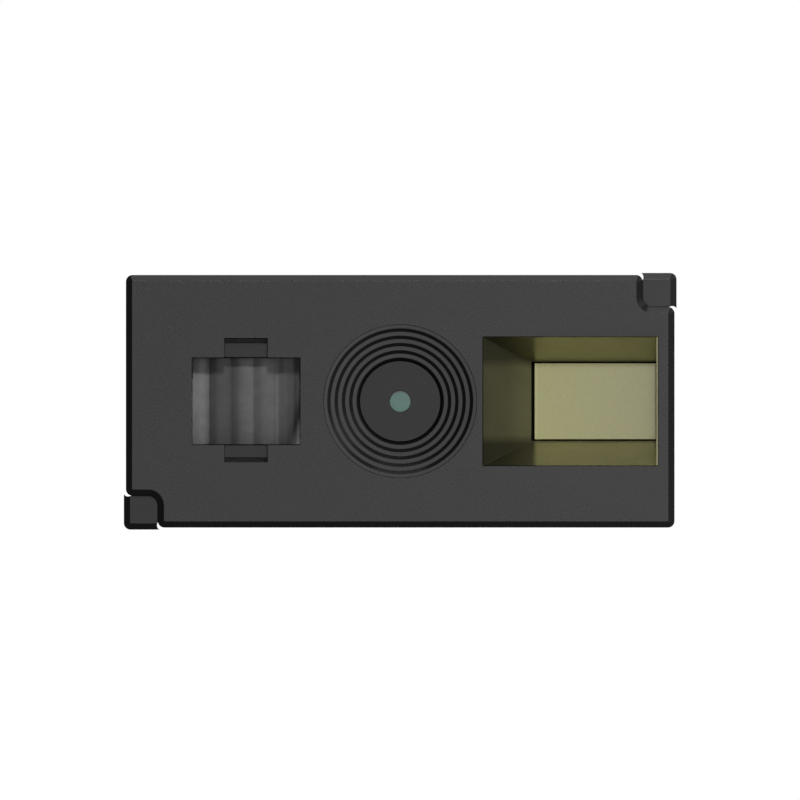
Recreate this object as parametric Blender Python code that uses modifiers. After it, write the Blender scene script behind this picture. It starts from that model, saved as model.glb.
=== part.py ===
"""Compact optical scanner module.

A moulded block with three optical windows side by side: a fluted line projector that aims the
module, a camera lens inside a stepped glare baffle, and a yellow illumination pocket. Behind it,
a chassis carries the sensor board and the decoder board, and two corner posts of the chassis
run forward through notches in the block. A flat cable plugs in at the rear, under a flip latch.

Lengths are in millimetres until place() and MM turn them into metres. A position is given as x
(to the right), depth (from the front face towards the rear) and rise (above the centre line).
"""
import math

import bmesh
import bpy
from mathutils import Vector

MM = 0.001

# Outer form
TOTAL_DEPTH = 11.6
HALF_WIDTH = 10.75
HALF_HEIGHT = 4.95
POST_PROUD = 0.08
CENTRE_HEIGHT = HALF_HEIGHT + POST_PROUD
CORNER_RADIUS = 0.255
FRONT_CHAMFER = 0.24
NOTCH_SIZE = 1.25
NOTCH_RADIUS = 0.37

# Front housing
HOUSING_DEPTH = 6.6
FRONT_WALL = 1.2
PILOT_HOLE_RADIUS = 0.55
PILOT_HOLE_SPACING = 12.8
PILOT_HOLE_AXIS_DEPTH = 3.6
PILOT_HOLE_LENGTH = 1.5

# Rear chassis
CHASSIS_FRONT = 6.7
CHASSIS_HALF_WIDTH = 10.55
CHASSIS_HALF_HEIGHT = 4.75
CHASSIS_WALL = 0.8
POST_RECESS = 0.35
POST_GAP = 0.01
SCOOP_RADIUS = 0.196
SCOOP_CENTRE = (0.086, 0.165)

# Camera
BAFFLE_RADIUS = 3.0
BAFFLE_GAP = 0.012
BAFFLE_INNER_RADIUS = 1.581
BAFFLE_FRONT = 0.02
BAFFLE_DEPTH = 1.15
CONE_OUTER_RADIUS = 2.862
CONE_PITCH = 0.286
CONE_WIDTH = 0.137
CONE_COUNT = 5
NOSE_RADIUS = 1.56
NOSE_FRONT = 0.55
BARREL_RADIUS = 2.1
BARREL_REAR = 5.1
PUPIL_RADIUS = 0.43
ELEMENT_RADIUS = 1.5

# Aimer
AIMER_X = -6.04
AIMER_WINDOW = (2.13, 1.715)
TAB_HALF_WIDTH = 0.8
TAB_FRONT = 0.4
AIMER_LENS_FRONT = 0.95
FLUTE_PITCH = 0.9
FLUTE_OFFSET = -1.47
FLUTE_HEIGHT = 0.05
FLUTE_BOW = 0.03

# Illumination
LIGHT_WINDOW_X = (3.225, 10.115)
LIGHT_WINDOW_RISE = 2.54
EMITTER_X = (5.27, 10.02)
EMITTER_RISE = 1.49
FUNNEL_FLOOR_X = 5.14
FUNNEL_FLOOR_RISE = 1.55
FUNNEL_RIM_DEPTH = 0.05
FUNNEL_DEPTH = 1.7

# Boards
BOARD_HALF_WIDTH = 9.65
BOARD_HALF_HEIGHT = 3.85
BOARD_THICKNESS = 0.8
SENSOR_BOARD_FRONT = 6.7
DECODER_BOARD_FRONT = 9.45
DECODER_BOARD_REAR = DECODER_BOARD_FRONT + BOARD_THICKNESS
SOLDER_GAP = 0.02

# Fasteners, given for the corner on the right; the other one is turned half round
HOUSING_SCREW_AT = (9.3, -3.45)
BOARD_SCREW_AT = (8.75, 2.9)

# Flat cable connector and its latch
CONNECTOR_X = (-1.2, 7.2)
LATCH_AXIS = (3.0, 11.135, 2.02)
LATCH_HALF_WIDTH = 3.52
LATCH_THICKNESS = 0.39
LATCH_REACH = 1.36
TRUNNION_RADIUS = 0.15
TRUNNION_LENGTH = 0.35

# Finishes: colour, roughness, metallic
FINISHES = {
    "housing_plastic": ((0.014, 0.014, 0.015), 0.42, 0.0),
    "chassis_plastic": ((0.012, 0.012, 0.013), 0.45, 0.0),
    "baffle_plastic": ((0.012, 0.012, 0.012), 0.5, 0.0),
    "aimer_acrylic": ((0.09, 0.09, 0.09), 0.2, 0.0),
    "reflector_plastic": ((0.28, 0.27, 0.13), 0.35, 0.0),
    "phosphor": ((0.30, 0.29, 0.16), 0.6, 0.0),
    "coated_glass": ((0.09, 0.2, 0.16), 0.08, 0.0),
    "clear_glass": ((0.75, 0.8, 0.8), 0.05, 0.0),
    "black_metal": ((0.02, 0.02, 0.02), 0.4, 0.8),
    "laminate": ((0.01, 0.06, 0.035), 0.4, 0.0),
    "chip_resin": ((0.018, 0.018, 0.02), 0.55, 0.0),
    "ceramic": ((0.45, 0.36, 0.26), 0.5, 0.0),
    "silicon": ((0.06, 0.05, 0.09), 0.2, 0.3),
    "connector_plastic": ((0.7, 0.66, 0.56), 0.45, 0.0),
    "latch_plastic": ((0.02, 0.02, 0.022), 0.4, 0.0),
    "plated_metal": ((0.7, 0.7, 0.68), 0.25, 1.0),
    "steel": ((0.35, 0.35, 0.36), 0.3, 1.0),
}


# ---------------------------------------------------------------- helpers

def place(x, depth, rise):
    """World position, in metres, of a point given from the front face's centre."""
    return Vector((x, depth - TOTAL_DEPTH / 2, CENTRE_HEIGHT + rise)) * MM


def around(centre, half):
    """Limits of a span from its middle and half its length."""
    return (centre - half, centre + half)


def on_side(side, limits):
    """The same limits on the left (-1) or the right (1), lowest first."""
    return tuple(sorted(side * limit for limit in limits))


def material(name):
    """The finish's material, made when it is first asked for."""
    found = bpy.data.materials.get(name)
    if found:
        return found
    colour, roughness, metallic = FINISHES[name]
    made = bpy.data.materials.new(name)
    made.use_nodes = True
    made.diffuse_color = (*colour, 1.0)
    shader = made.node_tree.nodes["Principled BSDF"]
    shader.inputs["Base Color"].default_value = (*colour, 1.0)
    shader.inputs["Roughness"].default_value = roughness
    shader.inputs["Metallic"].default_value = metallic
    return made


def add(name, mesh, finish):
    """Object for a mesh: a part if it has a finish, and otherwise a cutter or a joined block."""
    item = bpy.data.objects.new(name, mesh)
    if finish:
        mesh.materials.append(material(finish))
        bpy.data.collections["scanner_module"].objects.link(item)
    else:
        bpy.data.collections["cutters"].objects.link(item)
        item.hide_render = True
        item.display_type = "WIRE"
    return item


def block(name, x, depth, rise, finish=None):
    """Box between two limits along each axis."""
    form = bmesh.new()
    bmesh.ops.create_cube(form, size=1.0)
    size = Vector((x[1] - x[0], depth[1] - depth[0], rise[1] - rise[0])) * MM
    bmesh.ops.scale(form, vec=size, verts=form.verts)
    mesh = bpy.data.meshes.new(name)
    form.to_mesh(mesh)
    form.free()
    item = add(name, mesh, finish)
    item.location = place(sum(x) / 2, sum(depth) / 2, sum(rise) / 2)
    return item


def rod(name, centre, radius, length, along="depth", finish=None, steps=32):
    """Cylinder about a centre, with its axis along the depth, x or the rise."""
    form = bmesh.new()
    bmesh.ops.create_cone(form, cap_ends=True, segments=steps, radius1=radius * MM,
                          radius2=radius * MM, depth=length * MM)
    mesh = bpy.data.meshes.new(name)
    form.to_mesh(mesh)
    form.free()
    mesh.shade_smooth()
    mesh.set_sharp_from_angle(angle=math.radians(40))
    item = add(name, mesh, finish)
    item.location = place(*centre)
    turns = {"depth": (90, 0, 0), "x": (0, 90, 0), "rise": (0, 0, 0)}
    item.rotation_euler = [math.radians(turn) for turn in turns[along]]
    return item


def turned(name, profile, finish, x=0.0, rise=0.0, steps=48):
    """Turned piece about an axis along the depth.

    The profile is a list of (radius, depth) that goes down its outer side from front to rear.
    It is a ring if it starts off the axis, and a solid if it starts and ends on the axis.
    """
    points = [(radius * MM, 0.0, -depth * MM) for radius, depth in profile]
    edges = [(index, index + 1) for index in range(len(points) - 1)]
    if profile[0][0] > 0:
        edges.append((len(points) - 1, 0))
    mesh = bpy.data.meshes.new(name)
    mesh.from_pydata(points, edges, [])
    item = add(name, mesh, finish)
    item.location = place(x, 0.0, rise)
    item.rotation_euler.x = math.radians(90)
    turn = item.modifiers.new("turn", "SCREW")
    turn.axis = "Z"
    turn.steps = steps
    turn.render_steps = steps
    turn.use_merge_vertices = True
    turn.merge_threshold = 0.000001
    return item


def arc(centre, radius, start, end, steps=6):
    """Points along an arc, from one angle in degrees to another."""
    points = []
    for index in range(steps + 1):
        angle = math.radians(start + (end - start) * index / steps)
        points.append((centre[0] + radius * math.cos(angle), centre[1] + radius * math.sin(angle)))
    return points


def extrusion(name, outline, centre, thickness, along="depth", finish=None):
    """Flat outline given about a centre, and given a thickness along the depth, x or the rise.

    The outline's pairs are (x, rise) along the depth, (depth, rise) along x, and (x, depth)
    along the rise.
    """
    curve = bpy.data.curves.new(name, "CURVE")
    curve.dimensions = "2D"
    curve.fill_mode = "BOTH"
    curve.extrude = thickness / 2 * MM
    spline = curve.splines.new("POLY")
    spline.points.add(len(outline) - 1)
    for point, (across, up) in zip(spline.points, outline):
        point.co = (across * MM, up * MM, 0.0, 1.0)
    spline.use_cyclic_u = True
    guide = bpy.data.objects.new(name + "_outline", curve)
    bpy.data.collections["cutters"].objects.link(guide)
    guide.location = place(*centre)
    turns = {"depth": (90, 0, 0), "x": (90, 0, 90), "rise": (0, 0, 0)}
    guide.rotation_euler = [math.radians(turn) for turn in turns[along]]
    bpy.context.view_layer.update()
    graph = bpy.context.evaluated_depsgraph_get()
    mesh = bpy.data.meshes.new_from_object(guide.evaluated_get(graph))
    mesh.name = name
    form = bmesh.new()
    form.from_mesh(mesh)
    bmesh.ops.remove_doubles(form, verts=form.verts, dist=0.000001)
    bmesh.ops.dissolve_limit(form, angle_limit=math.radians(1), verts=form.verts, edges=form.edges)
    bmesh.ops.recalc_face_normals(form, faces=form.faces)
    form.to_mesh(mesh)
    form.free()
    mesh.materials.clear()
    item = add(name, mesh, finish)
    item.matrix_world = guide.matrix_world.copy()
    bpy.data.objects.remove(guide)
    return item


def combine(part, operation, tools):
    """One Boolean for each tool, in order."""
    for tool in tools:
        step = part.modifiers.new(tool.name, "BOOLEAN")
        step.operation = operation
        step.solver = "EXACT"
        step.object = tool


def cut(part, *tools):
    """Cut the tools out of the part."""
    combine(part, "DIFFERENCE", tools)


def join(part, *tools):
    """Make the tools one body with the part."""
    combine(part, "UNION", tools)


def chamfer_front(part, is_chosen):
    """Chamfer the front edges of an extrusion along the depth where is_chosen(x, rise) holds."""
    form = bmesh.new()
    form.from_mesh(part.data)
    weights = form.edges.layers.float.new("bevel_weight_edge")
    front = max(corner.co.z for corner in form.verts)
    for edge in form.edges:
        at_front = all(abs(corner.co.z - front) < 0.01 * MM for corner in edge.verts)
        middle = (edge.verts[0].co + edge.verts[1].co) / 2 / MM
        if at_front and edge.calc_face_angle(0.0) > 1.0 and is_chosen(middle.x, middle.y):
            edge[weights] = 1.0
    form.to_mesh(part.data)
    form.free()
    bevel = part.modifiers.new("front_chamfer", "BEVEL")
    bevel.limit_method = "WEIGHT"
    bevel.width = FRONT_CHAMFER * MM
    bevel.segments = 1
    bevel.use_clamp_overlap = False


# ---------------------------------------------------------------- outlines

def half_turned(outline):
    """The outline turned half round about the module's axis."""
    return [(-across, -up) for across, up in outline]


def housing_outline():
    """Rounded rectangle with a rounded notch at the bottom left and one at the top right."""
    radius = CORNER_RADIUS
    notch_x = HALF_WIDTH - NOTCH_SIZE
    notch_rise = HALF_HEIGHT - NOTCH_SIZE
    half = arc((-notch_x + radius, -HALF_HEIGHT + radius), radius, 180, 270)
    half += arc((HALF_WIDTH - radius, -HALF_HEIGHT + radius), radius, 270, 360)
    half += arc((HALF_WIDTH - radius, notch_rise - radius), radius, 0, 90)
    half += arc((notch_x + NOTCH_RADIUS, notch_rise + NOTCH_RADIUS), NOTCH_RADIUS, 270, 180)
    return half + half_turned(half)


def post_outline():
    """Section of the bottom left post: it fills the notch, with a scoop at each notch mouth."""
    outer_x = HALF_WIDTH + POST_PROUD
    outer_rise = HALF_HEIGHT + POST_PROUD
    notch_x = HALF_WIDTH - NOTCH_SIZE
    notch_rise = HALF_HEIGHT - NOTCH_SIZE
    inwards, beyond = SCOOP_CENTRE
    tip = math.degrees(math.acos((POST_PROUD + inwards) / SCOOP_RADIUS))
    wall = math.degrees(math.asin((beyond + POST_GAP) / SCOOP_RADIUS))
    inner_corner = (-notch_x - NOTCH_RADIUS, -notch_rise - NOTCH_RADIUS)
    outline = arc((CORNER_RADIUS - outer_x, CORNER_RADIUS - outer_rise), CORNER_RADIUS, 180, 270)
    outline += arc((beyond - notch_x, inwards - HALF_HEIGHT), SCOOP_RADIUS, 270 - tip, 90 + wall)
    outline += arc(inner_corner, NOTCH_RADIUS - POST_GAP, 0, 90)
    outline += arc((inwards - HALF_WIDTH, beyond - notch_rise), SCOOP_RADIUS, 360 - wall, 180 + tip)
    return outline


def post_blank_outline():
    """Block for the bottom left post, with room to spare on its two inner sides."""
    outer_x = HALF_WIDTH + POST_PROUD
    outer_rise = HALF_HEIGHT + POST_PROUD
    spare = 0.5
    inner_x = NOTCH_SIZE - HALF_WIDTH + spare
    inner_rise = NOTCH_SIZE - HALF_HEIGHT + spare
    outline = arc((CORNER_RADIUS - outer_x, CORNER_RADIUS - outer_rise), CORNER_RADIUS, 180, 270)
    return outline + [(inner_x, -outer_rise), (inner_x, inner_rise), (-outer_x, inner_rise)]


def rounded_rectangle(half_width, half_height, radius):
    """Rectangle about the centre line with round corners."""
    outline = []
    for start, side, level in ((0, 1, 1), (90, -1, 1), (180, -1, -1), (270, 1, -1)):
        corner = (side * (half_width - radius), level * (half_height - radius))
        outline += arc(corner, radius, start, start + 90, steps=4)
    return outline


def board_outline():
    """Board with a square notch at the top left and bottom right, and two cut corners."""
    notch_x = 8.15
    notch_rise = 2.3
    cut_corner = 0.4
    half = [
        (BOARD_HALF_WIDTH, -notch_rise),
        (BOARD_HALF_WIDTH, BOARD_HALF_HEIGHT - cut_corner),
        (BOARD_HALF_WIDTH - cut_corner, BOARD_HALF_HEIGHT),
        (-notch_x, BOARD_HALF_HEIGHT),
        (-notch_x, notch_rise),
    ]
    return half + half_turned(half)


# ---------------------------------------------------------------- housing and chassis

def build_front_housing():
    """Black front block with its three windows, pockets and pilot holes."""
    housing = extrusion("front_housing", housing_outline(), (0, HOUSING_DEPTH / 2, 0),
                        HOUSING_DEPTH, finish="housing_plastic")
    chamfer_front(housing, lambda x, rise: True)
    through_wall = (-1.0, FRONT_WALL + 0.05)
    to_rear = (FRONT_WALL, HOUSING_DEPTH + 1.0)
    cut(housing,
        block("aimer_window", around(AIMER_X, AIMER_WINDOW[0]), through_wall,
              around(0, AIMER_WINDOW[1])),
        block("clip_slots", around(AIMER_X, TAB_HALF_WIDTH + 0.05), through_wall,
              (-2.385, 2.475)),
        block("aimer_pocket", around(AIMER_X, 2.7), to_rear, around(0, 2.5)),
        rod("baffle_seat", (0, 0, 0), BAFFLE_RADIUS + BAFFLE_GAP, 2 * FRONT_WALL, steps=64),
        rod("lens_bore", (0, 3.0, 0), 2.75, 4.0, steps=48),
        block("holder_pocket", around(0, 2.95), (4.3, HOUSING_DEPTH + 1.0), around(0, 3.6)),
        block("light_window", LIGHT_WINDOW_X, through_wall, around(0, LIGHT_WINDOW_RISE)),
        block("light_pocket", (3.3, 10.3), to_rear, around(0, 2.68)))
    for side in (-1, 1):
        x, rise = side * HOUSING_SCREW_AT[0], side * HOUSING_SCREW_AT[1]
        pilot_centre = (side * PILOT_HOLE_SPACING / 2, PILOT_HOLE_AXIS_DEPTH, -HALF_HEIGHT)
        cut(housing,
            rod("screw_hole", (x, HOUSING_DEPTH, rise), 0.5, 7.2, steps=24),
            rod("pilot_hole", pilot_centre, PILOT_HOLE_RADIUS, 2 * PILOT_HOLE_LENGTH, along="rise",
                steps=24))


def build_post(side):
    """Corner post at the bottom left (-1) or the top right (1), chamfered on its outer edges."""
    section, blank = post_outline(), post_blank_outline()
    if side > 0:
        section, blank = half_turned(section), half_turned(blank)
    length = TOTAL_DEPTH - POST_RECESS
    centre = (0, POST_RECESS + length / 2, 0)
    flat_x = HALF_WIDTH + POST_PROUD - CORNER_RADIUS
    flat_rise = HALF_HEIGHT + POST_PROUD - CORNER_RADIUS
    post = extrusion("post", blank, centre, length)
    chamfer_front(post, lambda x, rise: abs(x) > flat_x or abs(rise) > flat_rise)
    combine(post, "INTERSECT", [extrusion("post_section", section, centre, length + 2)])
    return post


def build_rear_chassis():
    """Frame behind the housing, with two corner posts, two screw columns and two board lugs."""
    depth = TOTAL_DEPTH - CHASSIS_FRONT
    outline = rounded_rectangle(CHASSIS_HALF_WIDTH, CHASSIS_HALF_HEIGHT, 0.4)
    chassis = extrusion("rear_chassis", outline, (0, CHASSIS_FRONT + depth / 2, 0), depth,
                        finish="chassis_plastic")
    cut(chassis, block("chassis_inside", around(0, CHASSIS_HALF_WIDTH - CHASSIS_WALL),
                       (CHASSIS_FRONT - 1, TOTAL_DEPTH + 1),
                       around(0, CHASSIS_HALF_HEIGHT - CHASSIS_WALL)))
    for side in (-1, 1):
        join(chassis, build_post(side),
             block("column", on_side(-side, (8.25, 9.9)), (CHASSIS_FRONT, 10.2),
                   on_side(side, (2.4, 4.1))),
             block("lug", on_side(side, (7.8, 9.9)), (7.6, 9.4), on_side(side, (1.95, 4.1))))
    for side in (-1, 1):
        x, rise = side * HOUSING_SCREW_AT[0], side * HOUSING_SCREW_AT[1]
        cut(chassis,
            rod("column_hole", (x, 8.5, rise), 0.55, 5.0, steps=24),
            rod("head_recess", (x, 11.2, rise), 0.87, 2.0, steps=32),
            rod("lug_hole", (side * BOARD_SCREW_AT[0], 8.5, side * BOARD_SCREW_AT[1]), 0.45, 3.0,
                steps=24))
    cut(chassis, block("cable_exit", (-0.6, 6.6), (10.1, TOTAL_DEPTH + 1), (3.5, 6.0)))


# ---------------------------------------------------------------- camera

def baffle_profile():
    """Ring whose front goes down to the lens in steps: flat lands with 45 degree cones between."""
    profile = [(BAFFLE_RADIUS, BAFFLE_FRONT), (BAFFLE_RADIUS, BAFFLE_DEPTH),
               (BAFFLE_INNER_RADIUS, BAFFLE_DEPTH)]
    for index in reversed(range(CONE_COUNT)):
        outer = CONE_OUTER_RADIUS - index * CONE_PITCH
        land = BAFFLE_FRONT + index * CONE_WIDTH
        profile += [(outer - CONE_WIDTH, land + CONE_WIDTH), (outer, land)]
    return profile


def lens_profile(front, rear, radius, front_bulge, rear_bulge, steps=5):
    """Lens element between two depths at its axis, with a bulge at each face."""
    fractions = [index / steps for index in range(steps + 1)]
    face = [(radius * part, front + front_bulge * part ** 2) for part in fractions]
    back = [(radius * part, rear - rear_bulge * part ** 2) for part in reversed(fractions)]
    return face + back


def ring_profile(outer, inner, front, rear):
    """Plain ring."""
    return [(outer, front), (outer, rear), (inner, rear), (inner, front)]


def build_barrel():
    """Lens barrel with its pupil hole, and the elements stacked in it."""
    bore = ELEMENT_RADIUS + 0.05
    turned("lens_barrel", [
        (PUPIL_RADIUS, NOSE_FRONT), (NOSE_RADIUS, NOSE_FRONT), (NOSE_RADIUS, 1.45),
        (BARREL_RADIUS, 1.45), (BARREL_RADIUS, BARREL_REAR), (bore, BARREL_REAR), (bore, 1.65),
        (1.25, 1.65), (1.25, 0.67), (PUPIL_RADIUS, 0.67)], "baffle_plastic")
    turned("front_lens", lens_profile(0.71, 1.6, 1.2, 0.2, 0.05), "coated_glass", steps=32)
    turned("front_spacer", ring_profile(ELEMENT_RADIUS, 1.1, 1.68, 2.1), "black_metal", steps=32)
    turned("middle_lens", lens_profile(2.3, 2.7, ELEMENT_RADIUS, -0.15, -0.05), "clear_glass",
           steps=32)
    turned("rear_spacer", ring_profile(ELEMENT_RADIUS, 1.15, 2.78, 3.1), "black_metal", steps=32)
    turned("rear_lens", lens_profile(3.05, 4.0, ELEMENT_RADIUS, 0.2, 0.2), "clear_glass", steps=32)
    turned("lens_retaining_ring", ring_profile(ELEMENT_RADIUS, 1.0, 4.05, 4.7), "black_metal",
           steps=32)


def build_lens_holder():
    """Holder on the sensor board that the barrel is glued into, and what lies under it."""
    holder = block("lens_holder", around(0, 2.85), (4.4, 6.62), around(0, 3.5), "chassis_plastic")
    join(holder, rod("holder_tube", (0, 3.1, 0), 2.6, 3.0, steps=48))
    cut(holder,
        rod("holder_bore", (0, 3.2, 0), BARREL_RADIUS + 0.07, 4.0, steps=48),
        rod("holder_hole", (0, 5.2, 0), 1.6, 1.0),
        block("filter_seat", around(0, 1.85), (5.35, 5.8), around(0, 1.85)),
        block("sensor_cavity", around(0, 2.35), (5.65, 7.0), around(0, 2.15)))
    block("ir_filter", around(0, 1.8), (5.38, 5.63), around(0, 1.8), "clear_glass")
    block("sensor_cover_glass", around(0, 2.0), (5.72, 6.02), around(0, 1.8), "clear_glass")
    block("image_sensor", around(0, 2.2), (6.05, 6.65), around(0, 2.0), "silicon")


def build_camera():
    """Baffle, barrel, elements, holder and sensor."""
    turned("lens_baffle", baffle_profile(), "baffle_plastic", steps=64)
    build_barrel()
    build_lens_holder()


# ---------------------------------------------------------------- aimer

def flute_outline(half_width):
    """Section of the fluted nose: convex flutes on a slightly bowed front, and a flat back."""
    def groove_depth(x):
        return AIMER_LENS_FRONT + FLUTE_HEIGHT + FLUTE_BOW * (x / half_width) ** 2

    edges = [-half_width]
    edge = FLUTE_OFFSET
    while edge < half_width - 0.1:
        edges.append(edge)
        edge += FLUTE_PITCH
    edges.append(half_width)
    rear = 1.45
    outline = [(-half_width, rear)]
    steps = 5
    for left, right in zip(edges, edges[1:]):
        for index in range(steps):
            part = index / steps
            x = left + (right - left) * part
            outline.append((x, groove_depth(x) - FLUTE_HEIGHT * 4 * part * (1 - part)))
    outline += [(half_width, groove_depth(half_width)), (half_width, rear)]
    return outline


def build_aimer():
    """Fluted line lens, its clip, the slit plate and the LED behind them."""
    half_width = AIMER_WINDOW[0] - 0.04
    half_height = AIMER_WINDOW[1] - 0.04
    lens = extrusion("aimer_lens", flute_outline(half_width), (AIMER_X, 0, 0), 2 * half_height,
                     along="rise", finish="aimer_acrylic")
    join(lens, block("aimer_lens_flange", around(AIMER_X, 2.3), (1.35, 2.4), around(0, 1.8)))

    clip = block("aimer_lens_clip", around(AIMER_X, 2.65), (1.25, 2.9), around(0, 2.45),
                 "chassis_plastic")
    tab_x = around(AIMER_X, TAB_HALF_WIDTH)
    cut(clip, block("clip_inside", around(AIMER_X, 2.35), (1.0, 3.2), around(0, 1.85)))
    join(clip,
         block("upper_tab", tab_x, (TAB_FRONT, 1.3), (1.72, 2.29)),
         block("lower_tab", tab_x, (TAB_FRONT, 1.3), (-2.2, -1.72)))

    tunnel_x = around(AIMER_X, 2.6)
    plate = block("aimer_slit_plate", tunnel_x, (2.95, 3.2), around(0, 2.4), "black_metal")
    cut(plate, block("slit", around(AIMER_X, 1.6), (2.5, 3.6), around(0, 0.25)))
    shroud = block("aimer_shroud", tunnel_x, (3.25, HOUSING_DEPTH), around(0, 2.4),
                   "chassis_plastic")
    cut(shroud, block("shroud_inside", around(AIMER_X, 2.1), (3.0, 7.0), around(0, 1.9)))
    block("aimer_led", around(AIMER_X, 0.95), (6.03, 6.68), around(0, 0.95), "ceramic")
    dome = [(0.7 * math.sin(math.radians(angle)), 6.0 - 0.7 * math.cos(math.radians(angle)))
            for angle in range(0, 91, 15)]
    turned("aimer_led_dome", dome + [(0.0, 6.0)], "clear_glass", x=AIMER_X, steps=24)


# ---------------------------------------------------------------- illumination

def funnel_cutter():
    """Solid that fills the light funnel: its top, bottom and left walls slope in to the floor."""
    left, right = LIGHT_WINDOW_X[0] + 0.01, LIGHT_WINDOW_X[1] - 0.075
    rim = (left, right, LIGHT_WINDOW_RISE - 0.02)
    floor = (FUNNEL_FLOOR_X, right, FUNNEL_FLOOR_RISE)
    sections = ((-1.0, rim), (FUNNEL_RIM_DEPTH, rim), (FUNNEL_RIM_DEPTH + FUNNEL_DEPTH, floor),
                (2.5, floor))
    form = bmesh.new()
    loops = []
    for depth, (low, high, top) in sections:
        corners = ((low, -top), (high, -top), (high, top), (low, top))
        loops.append([form.verts.new(place(x, depth, rise)) for x, rise in corners])
    for front, rear in zip(loops, loops[1:]):
        for index in range(4):
            after = (index + 1) % 4
            form.faces.new((front[index], front[after], rear[after], rear[index]))
    form.faces.new(loops[0])
    form.faces.new(loops[-1])
    bmesh.ops.recalc_face_normals(form, faces=form.faces)
    mesh = bpy.data.meshes.new("funnel")
    form.to_mesh(mesh)
    form.free()
    return add("funnel", mesh, None)


def build_illumination():
    """Yellow funnel, the emitter at its floor, and the board and pins behind it."""
    window_left, window_right = LIGHT_WINDOW_X
    funnel_body = block("illumination_reflector", (window_left + 0.025, window_right - 0.025),
                        (0.03, 1.24), around(0, LIGHT_WINDOW_RISE - 0.025), "reflector_plastic")
    join(funnel_body, block("reflector_flange", (3.34, 10.26), (1.225, 1.85), around(0, 2.64)))
    cut(funnel_body, funnel_cutter())
    block("led_phosphor", EMITTER_X, (1.7, 1.9), around(0, EMITTER_RISE), "phosphor")
    block("illumination_led", (5.05, 10.2), (1.92, 2.7), around(0, 1.7), "ceramic")
    block("led_board", (3.4, 10.22), (2.72, 3.32), around(0, 2.6), "laminate")
    spacer = block("led_board_spacer", (3.4, 10.22), (3.37, HOUSING_DEPTH), around(0, 2.6),
                   "chassis_plastic")
    cut(spacer, block("spacer_inside", (4.0, 9.62), (3.0, 7.0), around(0, 2.0)))
    for number, rise in enumerate((1.2, -1.2), start=1):
        rod("led_pin_%d" % number, (4.6, 5.015, rise), 0.25, 3.33, finish="plated_metal", steps=16)


# ---------------------------------------------------------------- boards

def build_sensor_board():
    """Front board, its driver chip, and the two halves of the board to board connector."""
    extrusion("sensor_board", board_outline(), (0, SENSOR_BOARD_FRONT + BOARD_THICKNESS / 2, 0),
              BOARD_THICKNESS, finish="laminate")
    rear = SENSOR_BOARD_FRONT + BOARD_THICKNESS + SOLDER_GAP
    socket = block("board_socket", around(0, 4.0), (rear, 8.9), around(0, 1.3), "connector_plastic")
    cut(socket, block("socket_inside", around(0, 3.5), (8.0, 9.5), around(0, 0.8)))
    plug = block("board_plug", around(0, 3.8), (9.0, DECODER_BOARD_FRONT - SOLDER_GAP),
                 around(0, 1.2), "connector_plastic")
    join(plug, block("plug_tongue", around(0, 3.4), (8.1, 9.1), around(0, 0.65)))
    block("led_driver_chip", (5.5, 8.0), (rear, 8.2), around(0, 1.2), "chip_resin")


def build_decoder_board():
    """Rear board with the chips, the inductor and the capacitors on its rear face."""
    board = extrusion("decoder_board", board_outline(),
                      (0, DECODER_BOARD_FRONT + BOARD_THICKNESS / 2, 0), BOARD_THICKNESS,
                      finish="laminate")
    for side in (-1, 1):
        cut(board, rod("board_hole", (side * BOARD_SCREW_AT[0], DECODER_BOARD_FRONT,
                                      side * BOARD_SCREW_AT[1]), 0.5, 3.0, steps=24))
    front = DECODER_BOARD_REAR + SOLDER_GAP
    block("processor_chip", (-7.4, -2.0), (front, front + 0.8), around(0, 2.7), "chip_resin")
    block("memory_chip", (3.2, 7.2), (front, front + 0.7), (-3.3, -0.3), "chip_resin")
    block("clock_crystal", (0.2, 2.2), (front, front + 0.6), (-3.3, -1.7), "plated_metal")
    block("power_regulator", (0.2, 2.2), (front, front + 0.9), (-1.1, 0.1), "chip_resin")
    block("power_inductor", (-1.6, -0.1), (front, front + 1.0), (-3.2, -1.6), "chip_resin")
    capacitor_places = ((-8.6, 0.9), (-8.6, -0.1), (-8.6, -1.1), (8.4, 0.6), (8.4, -0.6), (-0.9, -0.5))
    for number, (x, rise) in enumerate(capacitor_places, start=1):
        block("capacitor_%d" % number, around(x, 0.5), (front, front + 0.5), around(rise, 0.25),
              "ceramic")


def latch_outline():
    """Side section of the latch about its axis: a plate whose inner end is round."""
    half = LATCH_THICKNESS / 2
    return arc((0, 0), half, 180, 360, steps=8) + [(half, LATCH_REACH), (-half, LATCH_REACH)]


def build_flex_connector():
    """Flat cable connector with its mouth upwards, its flip latch and its solder anchors."""
    front = DECODER_BOARD_REAR + SOLDER_GAP
    body = block("flex_connector", CONNECTOR_X, (front, 11.35), (0.45, 3.45), "connector_plastic")
    axis_x, axis_depth, axis_rise = LATCH_AXIS
    half_recess = LATCH_HALF_WIDTH + 0.08
    cut(body,
        block("latch_recess", around(axis_x, half_recess), (10.62, 12.0), (1.7, 4.0)),
        block("cable_slot", around(axis_x, 3.3), (10.62, 10.92), (1.0, 1.8)))
    for side in (-1, 1):
        ear = on_side(side, (half_recess - 0.1, half_recess + TRUNNION_LENGTH))
        cut(body, block("trunnion_slot", (axis_x + ear[0], axis_x + ear[1]),
                        (axis_depth - TRUNNION_RADIUS - 0.05, 12.0), around(axis_rise, 0.2)))
    latch = extrusion("connector_latch", latch_outline(), LATCH_AXIS, 2 * LATCH_HALF_WIDTH,
                      along="x", finish="latch_plastic")
    join(latch, rod("trunnions", LATCH_AXIS, TRUNNION_RADIUS,
                    2 * (LATCH_HALF_WIDTH + TRUNNION_LENGTH), along="x", steps=16))
    for name, x in (("connector_anchor_left", (-1.65, -1.25)), ("connector_anchor_right", (7.25, 7.65))):
        block(name, x, (front, 10.6), (2.4, 3.2), "plated_metal")


# ---------------------------------------------------------------- fasteners

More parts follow.
